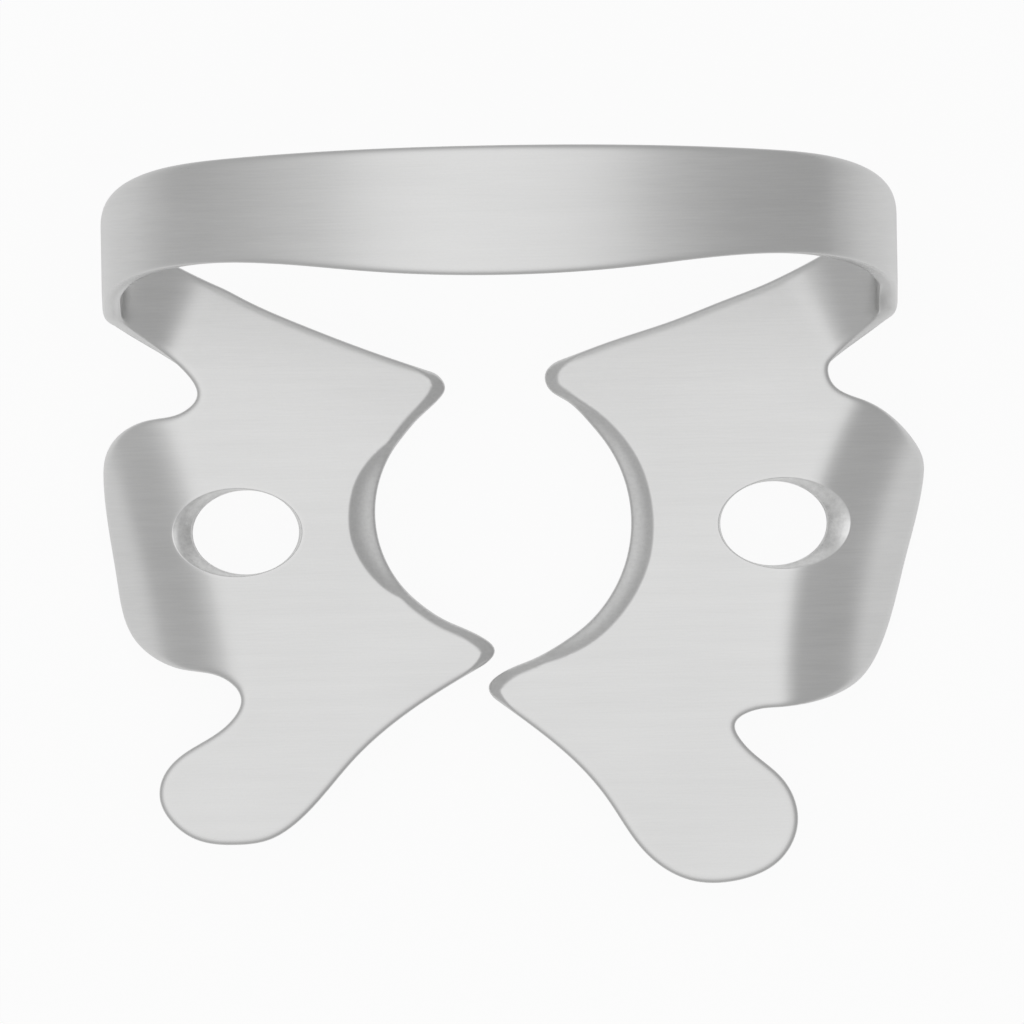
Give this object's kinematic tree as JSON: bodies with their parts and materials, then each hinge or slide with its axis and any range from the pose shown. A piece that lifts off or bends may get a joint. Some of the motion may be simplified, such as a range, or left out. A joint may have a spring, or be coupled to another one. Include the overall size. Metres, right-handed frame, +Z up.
{
  "type": "rubber dam clamp",
  "caption": "One-piece spring steel clamp with an arched bow and two winged, four-pronged jaws that hold a dental dam sheet on a back tooth.",
  "frame": {"origin": "middle of the tooth's place between the two jaws, on the jaws' flat top face", "axes": "+Z up from the jaws to the bow, +Y back to the bow, +X to the jaw with the longer front wing"},
  "size_m": [0.0281, 0.0251, 0.0161],
  "materials": {
    "spring_steel": "satin, finely brushed across the width, with rounded and ground edges"
  },
  "bodies": {
    "root": {"clamp": "spring_steel"}
  },
  "joints": []
}
